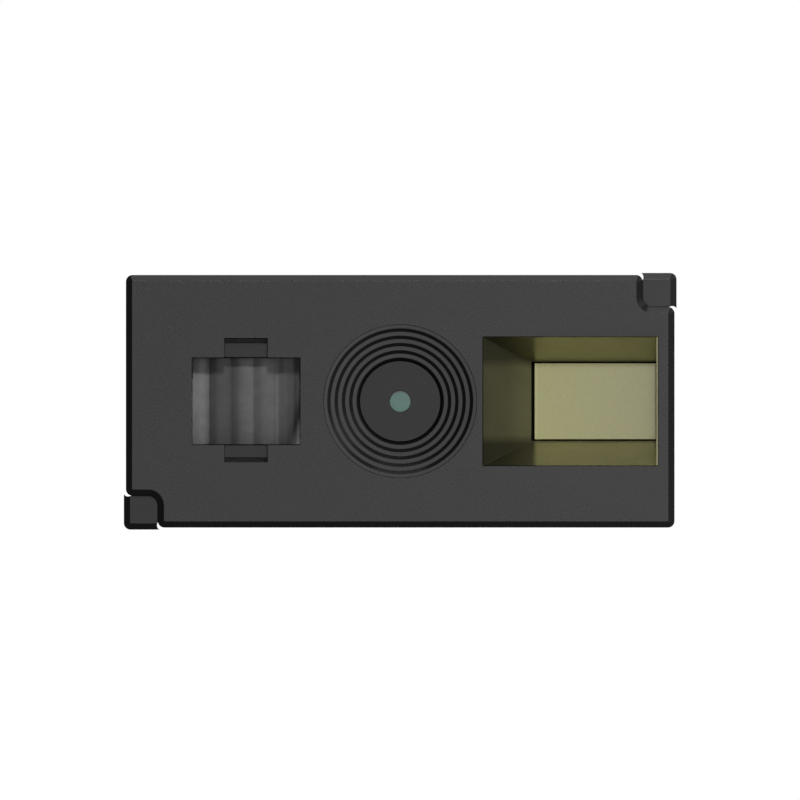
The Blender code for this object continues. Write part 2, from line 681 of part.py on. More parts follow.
def build_screw(name, at, seat, length, head_radius, head_height, shank_radius):
    """Cross-recess screw driven from the rear, with its head resting at the seat's depth."""
    rear = seat + head_height
    screw = turned(name, [
        (0.0, seat - length), (shank_radius, seat - length), (shank_radius, seat),
        (head_radius, seat), (head_radius, rear), (0.0, rear)], "steel", *at, steps=24)
    arm = 0.6 * head_radius
    recess = (rear - 0.5 * head_height, rear + 0.5)
    cut(screw,
        block(name + "_recess_1", around(at[0], arm), recess, around(at[1], 0.12)),
        block(name + "_recess_2", around(at[0], 0.12), recess, around(at[1], arm)))


def build_fasteners():
    """Two screws hold the chassis to the housing, and two hold the decoder board."""
    for number, side in enumerate((-1, 1), start=1):
        at = (side * HOUSING_SCREW_AT[0], side * HOUSING_SCREW_AT[1])
        build_screw("housing_screw_%d" % number, at, 10.22, 6.9, 0.8, 0.55, 0.45)
        at = (side * BOARD_SCREW_AT[0], side * BOARD_SCREW_AT[1])
        build_screw("board_screw_%d" % number, at, DECODER_BOARD_REAR + SOLDER_GAP, 2.2, 0.8, 0.45,
                    0.4)


# ---------------------------------------------------------------- assembly

def clear_scene():
    """Remove the objects that Blender starts with."""
    for item in list(bpy.data.objects):
        bpy.data.objects.remove(item, do_unlink=True)


def main():
    """Build the whole module."""
    clear_scene()
    for name in ("scanner_module", "cutters"):
        bpy.context.scene.collection.children.link(bpy.data.collections.new(name))
    build_front_housing()
    build_rear_chassis()
    build_camera()
    build_aimer()
    build_illumination()
    build_sensor_board()
    build_decoder_board()
    build_flex_connector()
    build_fasteners()


main()
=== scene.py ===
"""Looks of the optical scanner module: finished surfaces, small visible pieces, light and camera."""
import math

import bmesh
import bpy
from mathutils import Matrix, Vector


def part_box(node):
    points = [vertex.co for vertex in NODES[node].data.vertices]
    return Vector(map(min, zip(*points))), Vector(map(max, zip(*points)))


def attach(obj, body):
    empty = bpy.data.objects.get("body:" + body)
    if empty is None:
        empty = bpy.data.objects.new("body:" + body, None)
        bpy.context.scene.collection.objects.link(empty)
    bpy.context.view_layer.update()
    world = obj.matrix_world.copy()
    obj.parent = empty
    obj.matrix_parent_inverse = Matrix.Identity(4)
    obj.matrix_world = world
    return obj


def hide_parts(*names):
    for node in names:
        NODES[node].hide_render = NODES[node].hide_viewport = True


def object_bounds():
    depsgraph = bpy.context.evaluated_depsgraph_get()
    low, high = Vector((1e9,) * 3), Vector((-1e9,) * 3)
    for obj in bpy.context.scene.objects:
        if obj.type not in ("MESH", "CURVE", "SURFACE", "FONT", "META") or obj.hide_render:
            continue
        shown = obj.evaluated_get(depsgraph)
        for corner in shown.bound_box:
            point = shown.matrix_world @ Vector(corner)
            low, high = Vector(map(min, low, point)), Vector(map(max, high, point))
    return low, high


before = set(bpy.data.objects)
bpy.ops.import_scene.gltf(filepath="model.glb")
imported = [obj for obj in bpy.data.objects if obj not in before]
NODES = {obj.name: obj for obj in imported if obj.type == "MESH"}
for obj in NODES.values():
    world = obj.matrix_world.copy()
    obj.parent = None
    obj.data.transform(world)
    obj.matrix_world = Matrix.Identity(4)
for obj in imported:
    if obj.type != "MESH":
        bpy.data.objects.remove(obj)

MM = 0.001
MODULE = "module"
CAD_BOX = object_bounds()
HOUSING_LOW, HOUSING_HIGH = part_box("front_housing")
FRONT_Y = HOUSING_LOW.y
CENTRE_Z = (HOUSING_LOW.z + HOUSING_HIGH.z) / 2

# Camera: how many millimetres the picture spans, and where its middle is from the front face's centre
PICTURE_SPAN = 31.35
CENTRE_ABOVE = 0.05
CENTRE_LEFT = 0.008

# Gap between a part and its board in the CAD model, and how far over the board the leads and tails end
SOLDER_GAP = 0.02
ABOVE_BOARD = 0.002

# How far the line lens's flange stands out past its nose, in x and in rise
LENS_STEP = (0.205, 0.115)


# ---------------------------------------------------------------- places

def place(x, depth, rise):
    """World position in metres of a point given in millimetres from the front face's centre."""
    return Vector((x * MM, FRONT_Y + depth * MM, CENTRE_Z + rise * MM))


def limits(node):
    """Spans of a CAD node in x, depth and rise, in millimetres."""
    low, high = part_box(node)
    return ((low.x / MM, high.x / MM),
            ((low.y - FRONT_Y) / MM, (high.y - FRONT_Y) / MM),
            ((low.z - CENTRE_Z) / MM, (high.z - CENTRE_Z) / MM))


def middle(span):
    """Middle of a span."""
    return (span[0] + span[1]) / 2


def around(centre, half):
    """Span about a centre."""
    return (centre - half, centre + half)


# ---------------------------------------------------------------- shader nodes

def new_material(name):
    """Empty Principled material with its tree and shader."""
    made = bpy.data.materials.new(name)
    made.use_nodes = True
    return made, made.node_tree, made.node_tree.nodes["Principled BSDF"]


def millimetres(tree):
    """Object coordinates in millimetres."""
    source = tree.nodes.new("ShaderNodeTexCoord")
    scale = tree.nodes.new("ShaderNodeVectorMath")
    scale.operation = "SCALE"
    scale.inputs["Scale"].default_value = 1 / MM
    tree.links.new(source.outputs["Object"], scale.inputs[0])
    return scale.outputs["Vector"]


def axis_value(tree, where, axis):
    """One coordinate of a position."""
    split = tree.nodes.new("ShaderNodeSeparateXYZ")
    tree.links.new(where, split.inputs[0])
    return split.outputs[axis]


def noise(tree, where, scale, detail=2.0, roughness=0.5):
    """Noise with this many cells per millimetre."""
    node = tree.nodes.new("ShaderNodeTexNoise")
    node.inputs["Scale"].default_value = scale
    node.inputs["Detail"].default_value = detail
    node.inputs["Roughness"].default_value = roughness
    tree.links.new(where, node.inputs["Vector"])
    return node.outputs["Fac"]


def ramp(tree, factor, stops):
    """Colour ramp; stops are (position, linear colour)."""
    node = tree.nodes.new("ShaderNodeValToRGB")
    elements = node.color_ramp.elements
    while len(elements) < len(stops):
        elements.new(0.5)
    for element, (position, colour) in zip(elements, stops):
        element.position = position
        element.color = (*colour, 1.0)
    tree.links.new(factor, node.inputs["Fac"])
    return node.outputs["Color"]


def grey_stops(*stops):
    """Stops of a ramp given as (position, grey)."""
    return [(position, (grey, grey, grey)) for position, grey in stops]


def remap(tree, value, low, high, start=0.25, end=0.75):
    """Value from start..end spread over low..high."""
    node = tree.nodes.new("ShaderNodeMapRange")
    node.inputs["From Min"].default_value = start
    node.inputs["From Max"].default_value = end
    node.inputs["To Min"].default_value = low
    node.inputs["To Max"].default_value = high
    tree.links.new(value, node.inputs["Value"])
    return node.outputs["Result"]


def calculate(tree, operation, first, second):
    """Math node on two sockets or numbers."""
    node = tree.nodes.new("ShaderNodeMath")
    node.operation = operation
    for socket, value in zip(node.inputs, (first, second)):
        if isinstance(value, (int, float)):
            socket.default_value = value
        else:
            tree.links.new(value, socket)
    return node.outputs[0]


def blended(tree, factor, first, second, mode="MIX"):
    """Mix of two colours, each a socket or a linear colour."""
    node = tree.nodes.new("ShaderNodeMix")
    node.data_type = "RGBA"
    node.blend_type = mode
    if isinstance(factor, (int, float)):
        node.inputs[0].default_value = factor
    else:
        tree.links.new(factor, node.inputs[0])
    for socket, value in ((node.inputs[6], first), (node.inputs[7], second)):
        if isinstance(value, tuple):
            socket.default_value = (*value, 1.0)
        else:
            tree.links.new(value, socket)
    return node.outputs[2]


def relief(tree, shader, height, distance, strength=1.0):
    """Bump of this many millimetres on the shader's normal."""
    node = tree.nodes.new("ShaderNodeBump")
    node.inputs["Strength"].default_value = strength
    node.inputs["Distance"].default_value = distance * MM
    tree.links.new(height, node.inputs["Height"])
    tree.links.new(node.outputs["Normal"], shader.inputs["Normal"])


# ---------------------------------------------------------------- materials

def moulded_plastic(name, dark, light, roughness, grain=26.0, depth=0.0012, painted_side_light=0.0, painted_side_light_x=None,
                    specular=0.5):
    """Moulded plastic with a fine spark-eroded grain and faint clouds of tone.

    The side-light share and its x limits are painted light: the share is how much lighter the plastic is
    painted at the second x limit than at the first, standing in for light that falls more on that side.
    Without the limits that is at the module's right side and at its left.
    """
    made, tree, shader = new_material(name)
    where = millimetres(tree)
    clouds = noise(tree, where, 0.5, detail=4.0)
    fine = noise(tree, where, grain, detail=3.0, roughness=0.6)
    colour = ramp(tree, clouds, [(0.35, dark), (0.65, light)])
    # Painted light: lighter towards one side, as if more light fell there.
    if painted_side_light:
        start, end = painted_side_light_x or (HOUSING_LOW.x / MM, HOUSING_HIGH.x / MM)
        half_way_share = 0.4
        across = remap(tree, axis_value(tree, where, "X"), 0.0, 1.0, start=start, end=end)
        painted_paler_side = ramp(tree, across, grey_stops((0.0, 0.0), (0.5, half_way_share * painted_side_light), (1.0, painted_side_light)))
        colour = blended(tree, 1.0, colour, painted_paler_side, mode="ADD")
    tree.links.new(colour, shader.inputs["Base Color"])
    tree.links.new(remap(tree, fine, roughness - 0.05, roughness + 0.06), shader.inputs["Roughness"])
    shader.inputs["Specular IOR Level"].default_value = specular
    relief(tree, shader, fine, depth)
    return made


def machined_metal(name, dark, light, roughness, metallic=1.0):
    """Metal with a fine grain and slight staining."""
    made, tree, shader = new_material(name)
    where = millimetres(tree)
    stains = noise(tree, where, 1.3, detail=5.0)
    fine = noise(tree, where, 34.0, detail=2.0)
    tree.links.new(ramp(tree, stains, [(0.3, dark), (0.7, light)]), shader.inputs["Base Color"])
    tree.links.new(remap(tree, fine, roughness - 0.08, roughness + 0.1), shader.inputs["Roughness"])
    shader.inputs["Metallic"].default_value = metallic
    relief(tree, shader, fine, 0.001)
    return made


def clear_glass(name, tint):
    """Clear element with a trace of haze."""
    made, tree, shader = new_material(name)
    where = millimetres(tree)
    haze = noise(tree, where, 2.0, detail=3.0)
    tree.links.new(ramp(tree, haze, [(0.3, tint), (0.7, tuple(0.94 * part for part in tint))]),
                   shader.inputs["Base Color"])
    tree.links.new(remap(tree, haze, 0.01, 0.05), shader.inputs["Roughness"])
    shader.inputs["Transmission Weight"].default_value = 1.0
    shader.inputs["IOR"].default_value = 1.52
    return made


def coated_lens(name):
    """Front element: its green coating over the dark inside of the lens."""
    made, tree, shader = new_material(name)
    where = millimetres(tree)
    clouds = noise(tree, where, 1.5, detail=2.0)
    colour = ramp(tree, clouds, [(0.3, (0.044, 0.150, 0.118)), (0.7, (0.054, 0.172, 0.138))])
    tree.links.new(colour, shader.inputs["Base Color"])
    tree.links.new(remap(tree, clouds, 0.16, 0.24), shader.inputs["Roughness"])
    shader.inputs["Coat Weight"].default_value = 0.6
    shader.inputs["Coat Roughness"].default_value = 0.08
    return made


def smoke_acrylic(name, centre_x, half_width, half_height):
    """Fluted lens: smoke-grey, with each flute's light and shade painted into its colour.

    It is darker towards the bottom, and a painted reflection crosses its lower right corner: a dark
    slanting streak, then a painted highlight in the corner itself.
    """
    made, tree, shader = new_material(name)
    where = millimetres(tree)
    across = remap(tree, axis_value(tree, where, "X"), 0.0, 1.0,
                   start=centre_x - half_width, end=centre_x + half_width)
    height = remap(tree, axis_value(tree, where, "Z"), 0.0, 1.0,
                   start=CENTRE_Z / MM - half_height, end=CENTRE_Z / MM + half_height)
    # Painted light and shade: each flute's band of brightness is painted across the lens.
    colour = ramp(tree, across, grey_stops(
        (0.0, 0.30), (0.150, 0.20), (0.160, 0.085), (0.34, 0.085), (0.365, 0.08), (0.56, 0.18),
        (0.575, 0.13), (0.775, 0.16), (0.79, 0.22), (0.81, 0.15), (0.90, 0.075), (0.965, 0.085),
        (1.0, 0.16)))
    # Darker towards the bottom.
    darker_low = blended(tree, 1.0, colour, ramp(tree, height, grey_stops(
        (0.0, 0.66), (0.28, 0.96), (0.50, 1.05), (1.0, 1.05))), mode="MULTIPLY")
    # Painted reflection: a dark slanting streak over the lower right corner, then a painted highlight in
    # the corner.
    slant = 0.26
    slanted = calculate(tree, "SUBTRACT", across, calculate(tree, "MULTIPLY", height, slant))
    corner = ramp(tree, remap(tree, slanted, 0.0, 1.0, start=0.74, end=1.0), grey_stops(
        (0.0, 1.0), (0.36, 0.85), (0.57, 0.36), (0.66, 0.38), (0.84, 2.2), (1.0, 4.5)))
    with_painted_corner_shading = blended(tree, 1.0, darker_low, corner, mode="MULTIPLY")
    streaks = noise(tree, where, 3.0, detail=4.0)
    toned = blended(tree, remap(tree, streaks, 0.0, 0.25), with_painted_corner_shading, (0.03, 0.03, 0.03))
    tree.links.new(toned, shader.inputs["Base Color"])
    tree.links.new(remap(tree, streaks, 0.16, 0.24), shader.inputs["Roughness"])
    shader.inputs["Specular IOR Level"].default_value = 0.2
    relief(tree, shader, streaks, 0.0006)
    return made


def reflector_plastic(name, floor_left, floor_half_rise):
    """Olive yellow reflector: satin walls with a fine grain, with painted shade on the left wall and in
    the corners next to it.
    """
    made, tree, shader = new_material(name)
    where = millimetres(tree)
    grain = noise(tree, where, 14.0, detail=3.0, roughness=0.7)
    clouds = noise(tree, where, 0.8, detail=3.0)
    base = ramp(tree, clouds, [(0.3, (0.34, 0.329, 0.19)), (0.7, (0.38, 0.369, 0.21))])
    speckled = blended(tree, remap(tree, grain, 0.0, 0.35), base, (0.2, 0.19, 0.09))
    across = axis_value(tree, where, "X")
    wall_width, blur = 2.0, 0.1
    # Painted shade: the left wall is darker away from the floor, and a little lighter right next to it.
    side = ramp(tree, remap(tree, across, 0.0, 1.0, start=floor_left - wall_width, end=floor_left + blur),
                grey_stops((0.0, 0.59), (0.45, 0.76), (0.90, 1.17), (1.0, 1.0)))
    rise = calculate(tree, "SUBTRACT", axis_value(tree, where, "Z"), CENTRE_Z / MM)
    up = remap(tree, rise, 0.0, 1.0, start=-2 * floor_half_rise, end=2 * floor_half_rise)
    # Painted shade: darker in the corners above and below the floor's height, next to the left wall.
    ends = ramp(tree, up, grey_stops((0.22, 0.36), (0.28, 1.0), (0.72, 1.0), (0.78, 0.50)))
    painted_corner_shade_reach = remap(tree, across, 1.0, 0.0, start=floor_left - blur, end=floor_left + blur)
    shaded = blended(tree, 1.0, speckled, side, mode="MULTIPLY")
    with_painted_corner_shading = blended(tree, painted_corner_shade_reach, shaded, ends, mode="MULTIPLY")
    tree.links.new(with_painted_corner_shading, shader.inputs["Base Color"])
    tree.links.new(remap(tree, grain, 0.26, 0.38), shader.inputs["Roughness"])
    shader.inputs["Metallic"].default_value = 0.75
    relief(tree, shader, grain, 0.002)
    return made


def phosphor_layer(name, span):
    """Phosphor coating: pale olive yellow, brighter at its left edge, with fine grains."""
    made, tree, shader = new_material(name)
    where = millimetres(tree)
    across = remap(tree, axis_value(tree, where, "X"), 0.0, 1.0, start=span[0], end=span[1])
    base = ramp(tree, across, [(0.0, (0.62, 0.61, 0.30)), (0.012, (0.62, 0.61, 0.30)),
                               (0.03, (0.54, 0.525, 0.26)), (1.0, (0.49, 0.476, 0.292))])
    grain = noise(tree, where, 16.0, detail=3.0, roughness=0.7)
    speckled = blended(tree, remap(tree, grain, 0.0, 0.22), base, (0.24, 0.23, 0.11))
    tree.links.new(speckled, shader.inputs["Base Color"])
    tree.links.new(remap(tree, grain, 0.55, 0.75), shader.inputs["Roughness"])
    relief(tree, shader, grain, 0.002)
    return made


def solder_mask(name):
    """Green board: tracks show as slightly raised, lighter lines under the mask."""
    made, tree, shader = new_material(name)
    where = millimetres(tree)
    cells = tree.nodes.new("ShaderNodeTexVoronoi")
    cells.distance = "CHEBYCHEV"
    cells.feature = "F1"
    cells.inputs["Scale"].default_value = 0.9
    tree.links.new(where, cells.inputs["Vector"])
    rings = calculate(tree, "PINGPONG", calculate(tree, "MULTIPLY", cells.outputs["Distance"], 3.0), 0.5)
    tracks = remap(tree, rings, 0.0, 1.0, start=0.22, end=0.28)
    clouds = noise(tree, where, 1.1, detail=4.0)
    bare = ramp(tree, clouds, [(0.3, (0.004, 0.038, 0.018)), (0.7, (0.006, 0.052, 0.025))])
    colour = blended(tree, tracks, bare, (0.012, 0.095, 0.042))
    tree.links.new(colour, shader.inputs["Base Color"])
    tree.links.new(remap(tree, clouds, 0.22, 0.34), shader.inputs["Roughness"])
    relief(tree, shader, tracks, 0.02, strength=0.6)
    return made


def chip_resin(name):
    """Moulding resin of a chip: dull, with a fine sandy face."""
    return moulded_plastic(name, (0.012, 0.012, 0.013), (0.018, 0.018, 0.019), 0.58, grain=18.0,
                           depth=0.003)


def fired_ceramic(name, dark, light):
    """Ceramic body with a speckled, slightly glossy face."""
    made, tree, shader = new_material(name)
    where = millimetres(tree)
    grains = noise(tree, where, 9.0, detail=4.0, roughness=0.7)
    tree.links.new(ramp(tree, grains, [(0.35, dark), (0.65, light)]), shader.inputs["Base Color"])
    tree.links.new(remap(tree, grains, 0.38, 0.52), shader.inputs["Roughness"])
    relief(tree, shader, grains, 0.002)
    return made


def make_materials():
    """Every material by its slot, with a few extra ones for small pieces."""
    lens_x, _, lens_rise = limits("aimer_lens")
    nose_half = (lens_x[1] - lens_x[0]) / 2 - LENS_STEP[0]
    nose_half_height = (lens_rise[1] - lens_rise[0]) / 2 - LENS_STEP[1]
    phosphor_x, _, phosphor_rise = limits("led_phosphor")
    baffle_x, _, _ = limits("lens_baffle")
    return {
        # Housing: painted light, lighter towards the right where more light falls.
        "housing_plastic": moulded_plastic("housing_black", (0.0035, 0.0035, 0.0037),
                                           (0.0052, 0.0052, 0.0055), 0.27, depth=0.0004,
                                           painted_side_light=0.011),
        # Chassis: painted light, lighter towards the right where more light falls.
        "chassis_plastic": moulded_plastic("chassis_black", (0.0035, 0.0035, 0.0036),
                                           (0.005, 0.005, 0.0052), 0.36, depth=0.0004,
                                           painted_side_light=0.017),
        # Baffle: painted light, lighter towards the left, where its cones face the light from the right.
        "baffle_plastic": moulded_plastic("baffle_black", (0.0016, 0.0016, 0.0016),
                                          (0.0022, 0.0022, 0.0022), 0.24, depth=0.0004,
                                          painted_side_light=0.016, painted_side_light_x=(baffle_x[1], baffle_x[0])),
        "clip_plastic": moulded_plastic("clip_black", (0.003, 0.003, 0.003),
                                        (0.005, 0.005, 0.005), 0.38),
        "barrel_plastic": moulded_plastic("barrel_black", (0.002, 0.002, 0.002),
                                          (0.003, 0.003, 0.003), 0.36, depth=0.0004),
        "aimer_acrylic": smoke_acrylic("aimer_smoke", middle(lens_x), nose_half,
                                       nose_half_height),
        "reflector_plastic": reflector_plastic("reflector_olive", phosphor_x[0], phosphor_rise[1]),
        "phosphor": phosphor_layer("phosphor_yellow", phosphor_x),
        "coated_glass": coated_lens("coated_green"),
        "clear_glass": clear_glass("element_glass", (0.96, 0.98, 0.98)),
        "black_metal": machined_metal("anodised_black", (0.012, 0.012, 0.013), (0.02, 0.02, 0.021),
                                      0.42, metallic=0.6),
        "laminate": solder_mask("board_green"),
        "chip_resin": chip_resin("resin_black"),
        "package_resin": moulded_plastic("package_black", (0.001, 0.001, 0.001),
                                         (0.002, 0.002, 0.002), 0.6, specular=0.06),
        "ceramic": fired_ceramic("ceramic_tan", (0.30, 0.20, 0.12), (0.42, 0.30, 0.19)),
        "white_ceramic": fired_ceramic("ceramic_white", (0.62, 0.62, 0.58), (0.75, 0.75, 0.71)),
        "silicon": machined_metal("sensor_silicon", (0.05, 0.045, 0.09), (0.09, 0.06, 0.11), 0.2,
                                  metallic=0.5),
        "connector_plastic": moulded_plastic("nylon_natural", (0.56, 0.52, 0.42),
                                             (0.64, 0.60, 0.50), 0.42, grain=12.0),
        "latch_plastic": moulded_plastic("nylon_black", (0.012, 0.012, 0.013),
                                         (0.02, 0.02, 0.021), 0.40),
        "plated_metal": machined_metal("tin_plated", (0.52, 0.52, 0.50), (0.68, 0.68, 0.66), 0.30),
        "gold_metal": machined_metal("gold_flash", (0.55, 0.38, 0.14), (0.72, 0.52, 0.22), 0.28),
        "steel": machined_metal("screw_steel", (0.16, 0.16, 0.17), (0.26, 0.26, 0.27), 0.32),
    }


MATERIALS = make_materials()


# ---------------------------------------------------------------- mesh building

def rounded_block(form, x, depth, rise, radius, segments=2):
    """Block between limits, with every edge rounded."""
    verts = bmesh.ops.create_cube(form, size=1.0)["verts"]
    for corner in verts:
        spans = (x, depth, rise)
        corner.co = place(*(middle(span) + corner.co[axis] * (span[1] - span[0])
                            for axis, span in enumerate(spans)))
    edges = list({edge for corner in verts for edge in corner.link_edges})
    bmesh.ops.bevel(form, geom=edges, offset=radius * MM, segments=segments, profile=0.5,
                    affect="EDGES", clamp_overlap=True)


def lathe(form, profile, x=0.0, rise=0.0, steps=128):
    """Surface turned about the depth axis from a (radius, depth) profile.

    It closes on itself unless the profile starts and ends on the axis.
    """
    rings = []
    for radius, depth in profile:
        if radius == 0:
            rings.append([form.verts.new(place(x, depth, rise))])
            continue
        ring = []
        for index in range(steps):
            angle = 2 * math.pi * index / steps
            ring.append(form.verts.new(place(x + radius * math.cos(angle), depth,
                                             rise + radius * math.sin(angle))))
        rings.append(ring)
    pairs = list(zip(rings, rings[1:]))
    if profile[0][0] > 0:
        pairs.append((rings[-1], rings[0]))
    for first, second in pairs:
        for index in range(steps):
            after = (index + 1) % steps
            corners = [first[index % len(first)], first[after % len(first)],
                       second[after % len(second)], second[index % len(second)]]
            form.faces.new(list(dict.fromkeys(corners)))
    bmesh.ops.recalc_face_normals(form, faces=form.faces)


def prism(form, outline, low, high):
    """Outline of (x, depth) pairs swept along the rise between two limits."""
    near = [form.verts.new(place(x, depth, low)) for x, depth in outline]
    far = [form.verts.new(place(x, depth, high)) for x, depth in outline]
    form.faces.new(near)
    form.faces.new(far)
    for index in range(len(outline)):
        after = (index + 1) % len(outline)
        form.faces.new((near[index], near[after], far[after], far[index]))
    bmesh.ops.recalc_face_normals(form, faces=form.faces)


def piece(name, form, finish, replaced=(), body=MODULE, sharp=35.0):
    """Finished piece from a bmesh, riding on a body and standing for CAD nodes if it names any."""
    mesh = bpy.data.meshes.new(name)
    form.to_mesh(mesh)
    form.free()
    mesh.shade_smooth()
    mesh.set_sharp_from_angle(angle=math.radians(sharp))
    mesh.materials.append(MATERIALS[finish])
    made = bpy.data.objects.new(name, mesh)
    bpy.context.scene.collection.objects.link(made)
    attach(made, body)
    if replaced:
        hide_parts(*replaced)


def refine(node, finish, width):
    """Material and edges softened by a width in millimetres, for a CAD node that keeps its shape."""
    shown = NODES[node]
    shown.data.materials.clear()
    shown.data.materials.append(MATERIALS[finish])
    shown.data.shade_smooth()
    weld = shown.modifiers.new("weld", "WELD")
    weld.merge_threshold = 0.0005 * MM
    rounded = shown.modifiers.new("round_edges", "BEVEL")
    rounded.limit_method = "ANGLE"
    rounded.angle_limit = math.radians(32)
    rounded.width = width * MM
    rounded.segments = 1
    rounded.use_clamp_overlap = False
    split = shown.modifiers.new("crisp_edges", "EDGE_SPLIT")
    split.split_angle = math.radians(17)
    split.use_edge_sharp = False


# ---------------------------------------------------------------- pieces at the front

def make_housing():
    """Front block, chassis and the clip that holds the line lens."""
    refine("front_housing", "housing_plastic", width=0.005)
    refine("rear_chassis", "chassis_plastic", width=0.005)
    refine("aimer_lens_clip", "clip_plastic", width=0.012)


def make_tab_faces():
    """Faces of the clip's two tabs, which fill the slots from side to side."""
    x, _, _ = limits("aimer_lens_clip")
    half_width = 0.846
    depth = (0.385, 0.6)
    upper, lower = (1.735, 2.292), (-2.202, -1.735)
    form = bmesh.new()
    for rise in (upper, lower):
        rounded_block(form, around(middle(x), half_width), depth, rise, 0.006, segments=1)
    piece("clip_tab_faces", form, "clip_plastic")


def make_parting_gap_shade():
    """Painted shade: dark strips that fill the gap between the housing and the chassis, just inside their
    outlines, so the gap shows as shadow.
    """
    _, housing_depth, _ = limits("front_housing")
    chassis_gap = 0.1
    width, height = 10.52, 4.72
    thickness, corner = 0.5, 0.32
    post_x, post_rise = 9.47, 3.67
    # Painted shade: strips standing in for the shadow in the parting gap.
    depth = (housing_depth[1], housing_depth[1] + chassis_gap)
    form = bmesh.new()
    for side in (-1, 1):
        along_x = sorted((side * (corner - width), side * post_x))
        at_rise = sorted((side * (height - thickness), side * height))
        rounded_block(form, along_x, depth, at_rise, 0.003, segments=1)
        along_rise = sorted((side * (corner - height), side * post_rise))
        at_x = sorted((side * (width - thickness), side * width))
        rounded_block(form, at_x, depth, along_rise, 0.003, segments=1)
    piece("parting_gap_shade", form, "chassis_plastic")


def make_baffle():
    """Baffle ring that goes down to the lens in steps: flat lands with cones between them."""
    x, depth, _ = limits("lens_baffle")
    outer, inner = x[1], 1.581
    cone_outer, pitch, width, count = 2.862, 0.286, 0.137, 5
    lip = 0.005
    profile = [(outer, depth[0] + lip), (outer, depth[1]), (inner, depth[1])]
    for index in reversed(range(count)):
        wide = cone_outer - index * pitch
        land = depth[0] + index * width
        profile += [(wide - width, land + width), (wide, land)]
    profile.append((outer - lip, depth[0]))
    form = bmesh.new()
    lathe(form, profile, steps=160)
    piece("lens_baffle_ring", form, "baffle_plastic", replaced=("lens_baffle",), sharp=20.0)


def make_barrel():
    """Lens barrel: a flat nose with the pupil in it, and a wider body, hollow behind the nose."""
    x, depth, _ = limits("lens_barrel")
    nose, pupil, front = 1.575, 0.42, depth[0] + 0.05
    body, rear = x[1], depth[1]
    nose_edge, pupil_edge, body_edge = 0.008, 0.01, 0.05
    shoulder, nose_wall = 1.45, 0.12
    front_bore, rear_bore, bore_step = 1.25, 1.55, 1.65
    form = bmesh.new()
    lathe(form, [(pupil, front + pupil_edge), (pupil + pupil_edge, front), (nose - nose_edge, front),
                 (nose, front + nose_edge), (nose, shoulder),
                 (body - body_edge, shoulder), (body, shoulder + body_edge),
                 (body, rear - body_edge), (body - body_edge, rear),
                 (rear_bore, rear), (rear_bore, bore_step), (front_bore, bore_step),
                 (front_bore, front + nose_wall), (pupil, front + nose_wall)], steps=160)
    piece("lens_barrel_turned", form, "barrel_plastic", replaced=("lens_barrel",),
          sharp=12.0)


def make_front_lens():
    """Front element, bulging at the front and a little at the back."""
    x, depth, _ = limits("front_lens")
    front_bulge, back_bulge = 0.1, 0.05
    form = bmesh.new()
    steps = 14
    face = [(x[1] * index / steps, depth[0] + front_bulge * (index / steps) ** 2)
            for index in range(steps + 1)]
    back = [(x[1] * index / steps, depth[1] - back_bulge * (index / steps) ** 2)
            for index in reversed(range(steps + 1))]
    lathe(form, face + back, steps=96)
    piece("front_lens_element", form, "coated_glass", replaced=("front_lens",))


def make_aimer_lens():
    """Fluted nose and flange of the line lens."""
    x, depth, rise = limits("aimer_lens")
    centre = middle(x)
    half = (x[1] - x[0]) / 2 - LENS_STEP[0]
    half_height = (rise[1] - rise[0]) / 2 - LENS_STEP[1]
    flute_height, bow, pitch, first = 0.05, 0.03, 0.9, -1.47
    narrowest_flute, nose_length, flange_gap = 0.1, 0.40, 0.005
    edges = [-half]
    while first < half - narrowest_flute:
        edges.append(first)
        first += pitch
    edges.append(half)
    rear = depth[0] + nose_length
    outline = [(centre - half, rear)]
    steps = 14
    for left, right in zip(edges, edges[1:]):
        for index in range(steps):
            part = index / steps
            across = left + (right - left) * part
            groove = depth[0] + flute_height + bow * (across / half) ** 2
            outline.append((centre + across, groove - flute_height * 4 * part * (1 - part)))
    outline += [(centre + half, depth[0] + flute_height + bow), (centre + half, rear)]
    form = bmesh.new()
    prism(form, outline, -half_height, half_height)
    piece("aimer_lens_flutes", form, "aimer_acrylic", replaced=("aimer_lens",), sharp=12.0)
    form = bmesh.new()
    rounded_block(form, x, (rear + flange_gap, depth[1]), rise, 0.04)
    piece("aimer_lens_flange", form, "aimer_acrylic")


def carved(solid, tool):
    """Bmesh of one solid with another taken out of it."""
    items = []
    for name, form in (("solid", solid), ("tool", tool)):
        mesh = bpy.data.meshes.new(name)
        form.to_mesh(mesh)
        form.free()
        items.append(bpy.data.objects.new(name, mesh))
        bpy.context.scene.collection.objects.link(items[-1])
    step = items[0].modifiers.new("carve", "BOOLEAN")
    step.operation = "DIFFERENCE"
    step.solver = "EXACT"
    step.object = items[1]
    graph = bpy.context.evaluated_depsgraph_get()
    form = bmesh.new()
    form.from_mesh(items[0].evaluated_get(graph).data)
    for item in items:
        mesh = item.data
        bpy.data.objects.remove(item)
        bpy.data.meshes.remove(mesh)
    return form


def make_illumination():
    """Yellow funnel, and the phosphor and its LED package at the funnel's floor."""
    refine("illumination_reflector", "reflector_plastic", width=0.008)
    refine("led_phosphor", "phosphor", width=0.015)
    refine("illumination_led", "package_resin", width=0.03)


# ---------------------------------------------------------------- pieces at the rear

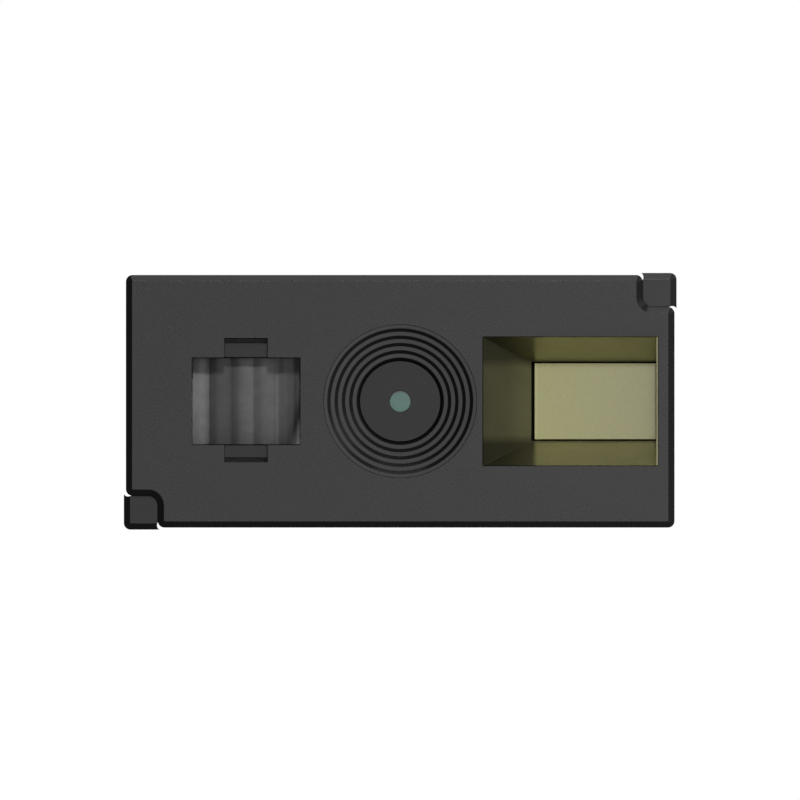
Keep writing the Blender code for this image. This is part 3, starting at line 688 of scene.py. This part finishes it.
def make_boards():
    """Boards with test pads and vias on the rear one."""
    for node in ("sensor_board", "decoder_board", "led_board"):
        refine(node, "laminate", width=0.02)
    _, depth, _ = limits("decoder_board")
    form = bmesh.new()
    pads = [(-7.0, 3.35), (-6.0, 3.35), (-5.0, 3.35), (-4.0, 3.35), (-3.0, 3.35),
            (7.9, -2.4), (7.9, -3.2), (-6.4, -3.3), (-5.4, -3.3), (-4.4, -3.3), (2.7, -3.2)]
    pad_radius, pad_edge, pad_height = 0.3, 0.01, 0.012
    pad_top = depth[1] + pad_height
    for x, rise in pads:
        lathe(form, [(0.0, depth[1]), (pad_radius, depth[1]), (pad_radius - pad_edge, pad_top),
                     (0.0, pad_top)], x, rise, steps=32)
    piece("board_test_pads", form, "gold_metal")
    form = bmesh.new()
    vias = [(-9.3, 1.9), (-8.1, 1.7), (2.6, -0.2), (2.7, -1.4), (-1.1, 0.4), (8.9, 1.6), (8.2, 1.7),
            (7.7, 0.0), (-9.2, -1.9), (-1.6, -0.9), (2.6, -2.2), (9.1, -0.2), (-1.5, 2.9), (-1.5, 3.3)]
    ring_radius, hole_radius, ring_height = 0.16, 0.09, 0.01
    ring_top = depth[1] + ring_height
    for x, rise in vias:
        lathe(form, [(ring_radius, depth[1]), (ring_radius, ring_top), (hole_radius, ring_top),
                     (hole_radius, depth[1])], x, rise, steps=24)
    piece("board_vias", form, "gold_metal")


def chip_body(name, x, depth, rise, replaced, dimple=True):
    """Resin package with bevelled edges and a round pin-one dimple."""
    form = bmesh.new()
    rounded_block(form, x, depth, rise, 0.06, segments=2)
    if dimple:
        from_edges, bottom, past_face = 0.5, depth[1] - 0.05, depth[1] + 0.1
        bottom_radius, top_radius = 0.2, 0.24
        tool = bmesh.new()
        lathe(tool, [(0.0, bottom), (bottom_radius, bottom), (top_radius, past_face), (0.0, past_face)],
              x[0] + from_edges, rise[1] - from_edges, steps=32)
        form = carved(form, tool)
    piece(name, form, "chip_resin", replaced=replaced)


def gull_lead(form, x_body, x_foot, depth, rise, width):
    """One bent lead from the side of a package to the board."""
    base, top = depth[0] - SOLDER_GAP + ABOVE_BOARD, depth[0] + 0.5 * (depth[1] - depth[0])
    thick, knee_share, inside = 0.1, 0.3, 0.05
    outer_bend, inner_bend, inner_lean = 0.06, 0.04, 0.02
    side = 1 if x_foot > x_body else -1
    root = x_body - side * inside
    knee = x_body + side * knee_share * abs(x_foot - x_body)
    outline = [(root, top), (knee, top), (knee + side * outer_bend, base + thick),
               (x_foot, base + thick), (x_foot, base), (knee - side * inner_bend, base),
               (knee - side * inner_bend - side * inner_lean, top - thick), (root, top - thick)]
    prism(form, outline, rise - width / 2, rise + width / 2)


def make_chips():
    """Packages on the rear board, with their leads."""
    x, depth, rise = limits("processor_chip")
    substrate, parting, inset = 0.16, 0.005, 0.04
    chip_body("processor_package", x, (depth[0] + substrate, depth[1]), rise, ("processor_chip",))
    form = bmesh.new()
    rounded_block(form, (x[0] + inset, x[1] - inset), (depth[0], depth[0] + substrate - parting),
                  (rise[0] + inset, rise[1] - inset), 0.02)
    piece("processor_substrate", form, "laminate")

    x, depth, rise = limits("memory_chip")
    lead, lead_width, first, count = 0.4, 0.2, 0.25, 6
    standoff = 0.08
    chip_body("memory_package", (x[0] + lead, x[1] - lead), (depth[0] + standoff, depth[1]), rise,
              ("memory_chip",))
    form = bmesh.new()
    for index in range(count):
        level = rise[0] + first + index * (rise[1] - rise[0] - 2 * first) / (count - 1)
        gull_lead(form, x[0] + lead, x[0], depth, level, lead_width)
        gull_lead(form, x[1] - lead, x[1], depth, level, lead_width)
    piece("memory_leads", form, "plated_metal")

    x, depth, rise = limits("power_regulator")
    lead, lead_width, standoff = 0.35, 0.18, 0.06
    chip_body("regulator_package", (x[0] + lead, x[1] - lead), (depth[0] + standoff, depth[1]), rise,
              ("power_regulator",), dimple=False)
    form = bmesh.new()
    for share in (0.2, 0.5, 0.8):
        level = rise[0] + share * (rise[1] - rise[0])
        gull_lead(form, x[0] + lead, x[0], depth, level, lead_width)
        if share != 0.5:
            gull_lead(form, x[1] - lead, x[1], depth, level, lead_width)
    piece("regulator_leads", form, "plated_metal")


def ended_block(name, node, body_finish, end_share, radius):
    """Two-terminal part: a body between two plated ends."""
    x, depth, rise = limits(node)
    end = end_share * (x[1] - x[0])
    lift, inset, parting = 0.01, 0.015, 0.002
    form = bmesh.new()
    rounded_block(form, (x[0] + end, x[1] - end), (depth[0] + lift, depth[1] - inset),
                  (rise[0] + inset, rise[1] - inset), 0.004, segments=1)
    piece(name, form, body_finish, replaced=(node,))
    form = bmesh.new()
    for span in ((x[0], x[0] + end - parting), (x[1] - end + parting, x[1])):
        rounded_block(form, span, depth, rise, radius)
    piece(name + "_ends", form, "plated_metal")


def make_passives():
    """Capacitors, inductor and crystal."""
    for number in range(1, 7):
        ended_block("capacitor_body_%d" % number, "capacitor_%d" % number, "ceramic",
                    0.23, 0.045)
    ended_block("inductor_body", "power_inductor", "chip_resin", 0.16, 0.05)
    x, depth, rise = limits("clock_crystal")
    base, parting, inset = 0.25, 0.005, 0.1
    form = bmesh.new()
    rounded_block(form, x, (depth[0], depth[0] + base), rise, 0.03)
    piece("crystal_base", form, "white_ceramic", replaced=("clock_crystal",))
    form = bmesh.new()
    rounded_block(form, (x[0] + inset, x[1] - inset), (depth[0] + base + parting, depth[1]),
                  (rise[0] + inset, rise[1] - inset), 0.08, segments=3)
    piece("crystal_lid", form, "plated_metal")


def make_connector():
    """Flat cable connector: body, contacts, solder tails, latch and anchors."""
    refine("flex_connector", "connector_plastic", width=0.03)
    refine("connector_latch", "latch_plastic", width=0.03)
    refine("connector_anchor_left", "plated_metal", width=0.03)
    refine("connector_anchor_right", "plated_metal", width=0.03)
    x, depth, rise = limits("flex_connector")
    centre = middle(x)
    count, pitch = 12, 0.5
    tail_depth = (depth[0] - SOLDER_GAP + ABOVE_BOARD, depth[0] + 0.12)
    tail_rise = (rise[0] - 0.38, rise[0] - 0.002)
    contact_depth = (depth[0] + 0.352, depth[0] + 0.40)
    contact_rise = (rise[0] + 0.75, rise[1] - 0.5)
    tails = bmesh.new()
    contacts = bmesh.new()
    for index in range(count):
        at = centre + (index - (count - 1) / 2) * pitch
        rounded_block(tails, around(at, 0.1), tail_depth, tail_rise, 0.02)
        rounded_block(contacts, around(at, 0.09), contact_depth, contact_rise, 0.015)
    piece("connector_tails", tails, "plated_metal")
    piece("connector_contacts", contacts, "gold_metal")


def make_hidden():
    """Pieces inside the module, which keep their CAD shape."""
    finishes = {
        "chassis_plastic": ("lens_holder", "aimer_shroud", "led_board_spacer"),
        "black_metal": ("front_spacer", "rear_spacer", "lens_retaining_ring", "aimer_slit_plate"),
        "clear_glass": ("middle_lens", "rear_lens", "ir_filter", "sensor_cover_glass",
                        "aimer_led_dome"),
        "silicon": ("image_sensor",),
        "white_ceramic": ("aimer_led",),
        "chip_resin": ("led_driver_chip",),
        "connector_plastic": ("board_socket", "board_plug"),
        "plated_metal": ("led_pin_1", "led_pin_2"),
        "steel": ("housing_screw_1", "housing_screw_2", "board_screw_1", "board_screw_2"),
    }
    for finish, nodes in finishes.items():
        for node in nodes:
            refine(node, finish, width=0.02)


# ---------------------------------------------------------------- camera, light and floor

def make_camera():
    """Parallel view, dead-on to the front face."""
    data = bpy.data.cameras.new("camera")
    data.type = "ORTHO"
    data.ortho_scale = PICTURE_SPAN * MM
    data.clip_start = 0.001
    data.clip_end = 10.0
    made = bpy.data.objects.new("camera", data)
    bpy.context.scene.collection.objects.link(made)
    distance = 400.0
    made.location = place(-CENTRE_LEFT, -distance, CENTRE_ABOVE)
    made.rotation_euler = (math.radians(90), 0.0, 0.0)
    bpy.context.scene.camera = made


def softbox(name, azimuth, elevation, distance, width, height, radiance):
    """Area light aimed at the module. Azimuth 0 is in front of it and 90 is on its right."""
    data = bpy.data.lights.new(name, "AREA")
    data.shape = "RECTANGLE"
    data.size = width
    data.size_y = height
    data.energy = radiance * math.pi * width * height
    made = bpy.data.objects.new(name, data)
    bpy.context.scene.collection.objects.link(made)
    turn, lift = math.radians(azimuth), math.radians(elevation)
    away = Vector((math.sin(turn) * math.cos(lift), -math.cos(turn) * math.cos(lift), math.sin(lift)))
    made.location = place(0.0, 0.0, 0.0) + away * distance
    made.rotation_euler = away.to_track_quat("Z", "Y").to_euler()
    made.visible_camera = False


def make_lights():
    """Box in front, one overhead, a small key, weak fills, and the glow of a pale table."""
    softbox("front_box", 6, 2, 0.80, 0.44, 0.44, 1.36)
    softbox("key", 2, 33, 0.60, 0.07, 0.07, 95.0)
    softbox("top_box", 178, 72, 0.60, 0.50, 0.50, 1.25)
    softbox("right_box", 71, 29, 0.60, 0.34, 0.34, 0.65)
    softbox("rear_box", 198, 28, 0.70, 0.55, 0.45, 2.0)
    softbox("low_left_glow", -48, -26, 0.70, 0.44, 0.36, 0.8)
    softbox("low_rear_glow", 135, -17, 0.70, 0.44, 0.36, 0.8)


def make_world():
    """White to the camera. To everything else it is dim, and less so on the right."""
    world = bpy.data.worlds.new("studio")
    bpy.context.scene.world = world
    world.use_nodes = True
    tree = world.node_tree
    tree.nodes.clear()
    path = tree.nodes.new("ShaderNodeLightPath")
    seen = tree.nodes.new("ShaderNodeBackground")
    seen.inputs["Color"].default_value = (1.0, 1.0, 1.0, 1.0)
    where = tree.nodes.new("ShaderNodeTexCoord")
    across = axis_value(tree, where.outputs["Generated"], "X")
    dim = tree.nodes.new("ShaderNodeBackground")
    dimmed = ramp(tree, remap(tree, across, 0.0, 1.0, start=-1.0, end=1.0),
                  grey_stops((0.0, 0.07), (0.5, 0.12), (1.0, 0.16)))
    tree.links.new(dimmed, dim.inputs["Color"])
    pick = tree.nodes.new("ShaderNodeMixShader")
    out = tree.nodes.new("ShaderNodeOutputWorld")
    tree.links.new(path.outputs["Is Camera Ray"], pick.inputs["Fac"])
    tree.links.new(dim.outputs[0], pick.inputs[1])
    tree.links.new(seen.outputs[0], pick.inputs[2])
    tree.links.new(pick.outputs[0], out.inputs["Surface"])


def make_floor():
    """Pale floor: it takes a faint shadow and sends no light back up."""
    form = bmesh.new()
    bmesh.ops.create_grid(form, x_segments=1, y_segments=1, size=4.0)
    mesh = bpy.data.meshes.new("floor")
    form.to_mesh(mesh)
    form.free()
    made, tree, shader = new_material("floor_white")
    where = millimetres(tree)
    clouds = noise(tree, where, 0.02, detail=2.0)
    pale = ramp(tree, clouds, grey_stops((0.3, 0.50), (0.7, 0.54)))
    tree.links.new(pale, shader.inputs["Base Color"])
    shader.inputs["Roughness"].default_value = 0.9
    shader.inputs["Specular IOR Level"].default_value = 0.0
    shader.inputs["Emission Color"].default_value = (1.0, 1.0, 1.0, 1.0)
    away = tree.nodes.new("ShaderNodeVectorMath")
    away.operation = "LENGTH"
    tree.links.new(where, away.inputs[0])
    tree.links.new(remap(tree, away.outputs["Value"], 0.80, 1.0, start=60.0, end=400.0),
                   shader.inputs["Emission Strength"])
    mesh.materials.append(made)
    floor = bpy.data.objects.new("floor", mesh)
    bpy.context.scene.collection.objects.link(floor)
    floor.location.z = CAD_BOX[0].z
    floor.visible_diffuse = False
    floor.visible_glossy = False
    floor.visible_transmission = False
    floor.visible_shadow = False


make_camera()
make_world()
make_lights()
make_floor()
make_housing()
make_tab_faces()
make_parting_gap_shade()
make_baffle()
make_barrel()
make_front_lens()
make_aimer_lens()
make_illumination()
make_boards()
make_chips()
make_passives()
make_connector()
make_hidden()
bpy.context.scene.view_settings.view_transform = "Standard"
